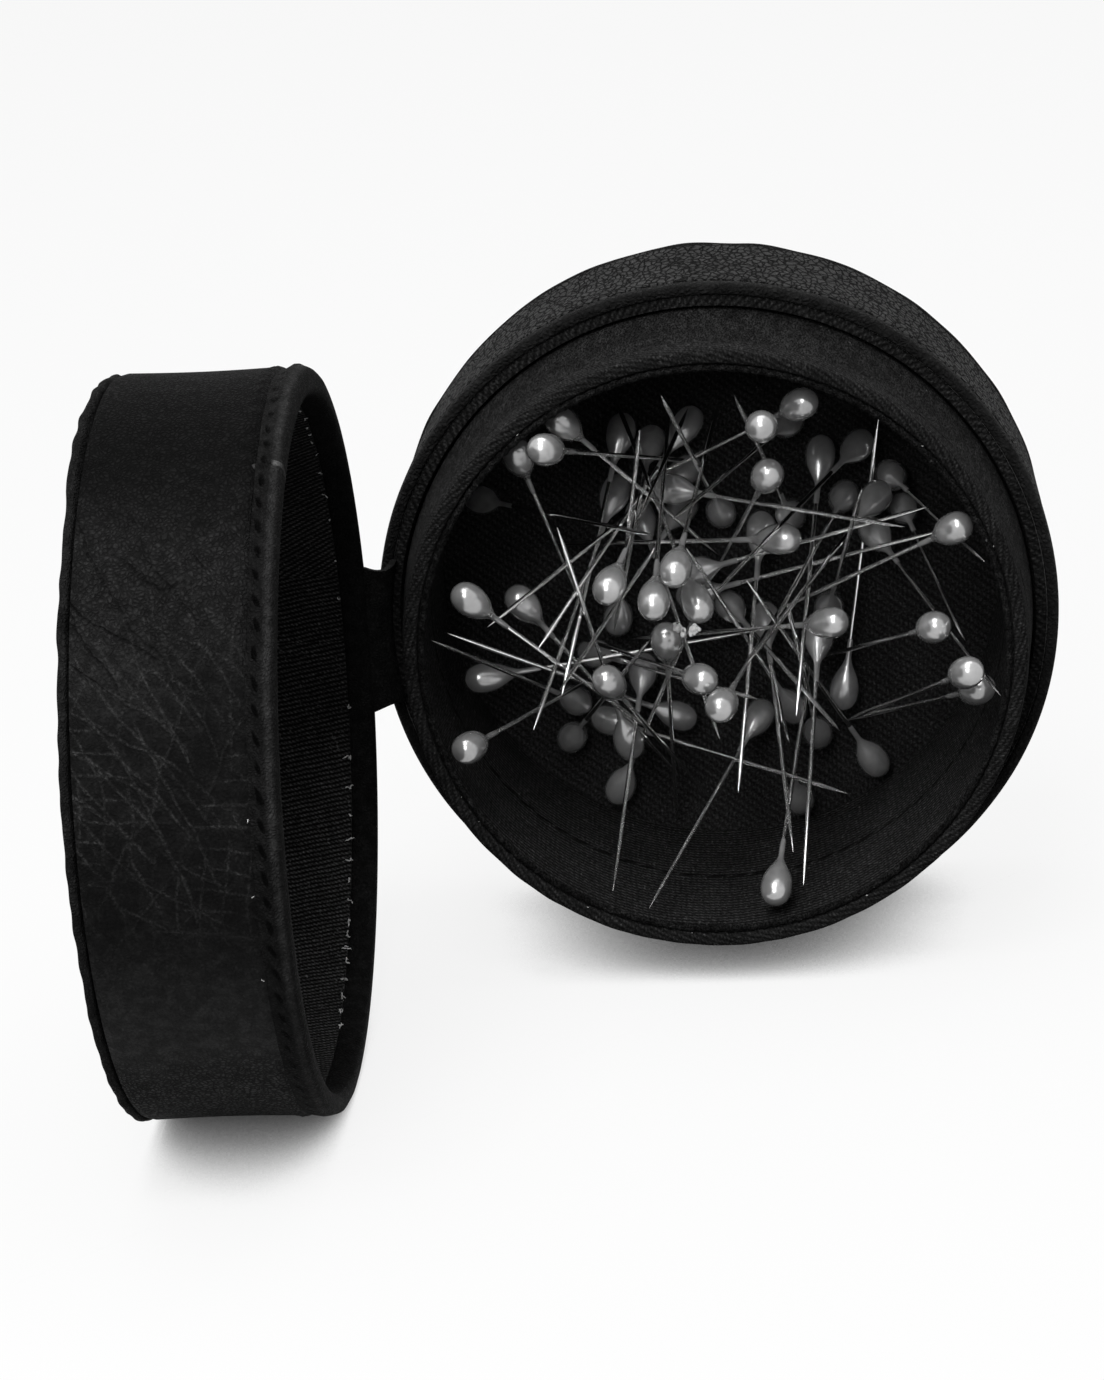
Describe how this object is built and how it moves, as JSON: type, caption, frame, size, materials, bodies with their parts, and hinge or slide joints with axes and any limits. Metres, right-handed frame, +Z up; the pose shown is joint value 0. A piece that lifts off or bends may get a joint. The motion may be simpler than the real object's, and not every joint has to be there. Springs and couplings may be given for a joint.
{
  "type": "magnetic needle case",
  "caption": "Round leather pin and needle case: a hinged lid closes over a cloth covered collar, and a magnet under the floor holds pearl headed pins.",
  "frame": {"origin": "middle of the part's box as opened, on the surface that both drums stand on", "axes": "+Z up, along the hinge line; the base's mouth faces -Y and its closed end faces +Y; the open lid is on the -X side with its mouth facing +X"},
  "size_m": [0.102, 0.1048, 0.0798],
  "materials": {
    "pebbled_leather": "fine pebble grain, semi matt",
    "smooth_leather": "smooth, slightly shiny",
    "greyboard": "matt",
    "twill_cloth": "ribbed twill weave",
    "smooth_cloth": "smooth coated cloth",
    "ferrite": "matt",
    "pearl_on_steel": "pearly head on a bright steel shaft"
  },
  "bodies": {
    "base": {"base_wall_leather": "pebbled_leather", "base_wall_board": "greyboard", "base_rim_binding": "twill_cloth", "base_end_welt": "smooth_leather", "base_end_leather": "pebbled_leather", "base_end_board": "greyboard", "magnet_disc": "ferrite", "magnet_spacer": "greyboard", "base_floor_lining": "twill_cloth", "collar_board": "greyboard", "collar_sleeve": "smooth_cloth", "collar_binding": "twill_cloth", "collar_bead": "smooth_cloth", "base_wall_lining": "twill_cloth", "hinge_strap": "smooth_leather", "pin_01": "pearl_on_steel", "pin_02": "pearl_on_steel", "pin_03": "pearl_on_steel", "pin_04": "pearl_on_steel", "pin_05": "pearl_on_steel", "pin_06": "pearl_on_steel", "pin_07": "pearl_on_steel", "pin_08": "pearl_on_steel", "pin_09": "pearl_on_steel", "pin_10": "pearl_on_steel", "pin_11": "pearl_on_steel", "pin_12": "pearl_on_steel", "pin_13": "pearl_on_steel", "pin_14": "pearl_on_steel", "pin_15": "pearl_on_steel", "pin_16": "pearl_on_steel", "pin_17": "pearl_on_steel", "pin_18": "pearl_on_steel", "pin_19": "pearl_on_steel", "pin_20": "pearl_on_steel", "pin_21": "pearl_on_steel", "pin_22": "pearl_on_steel", "pin_23": "pearl_on_steel", "pin_24": "pearl_on_steel", "pin_25": "pearl_on_steel", "pin_26": "pearl_on_steel", "pin_27": "pearl_on_steel", "pin_28": "pearl_on_steel", "pin_29": "pearl_on_steel", "pin_30": "pearl_on_steel", "pin_31": "pearl_on_steel", "pin_32": "pearl_on_steel", "pin_33": "pearl_on_steel", "pin_34": "pearl_on_steel", "pin_35": "pearl_on_steel", "pin_36": "pearl_on_steel", "pin_37": "pearl_on_steel"},
    "lid": {"lid_wall_leather": "pebbled_leather", "lid_wall_board": "greyboard", "lid_rim_binding": "smooth_leather", "lid_wall_lining": "twill_cloth", "lid_end_welt": "smooth_leather", "lid_end_leather": "pebbled_leather", "lid_end_board": "greyboard", "lid_end_lining": "twill_cloth"}
  },
  "joints": [
    {"name": "lid_hinge", "type": "hinge", "parent": "base", "child": "lid", "pos_m": [-0.02936, 0.02791, 0.03991], "axis": [0, 0, 1], "range_deg": [-85, 90], "deforming": ["hinge_strap"]}
  ]
}
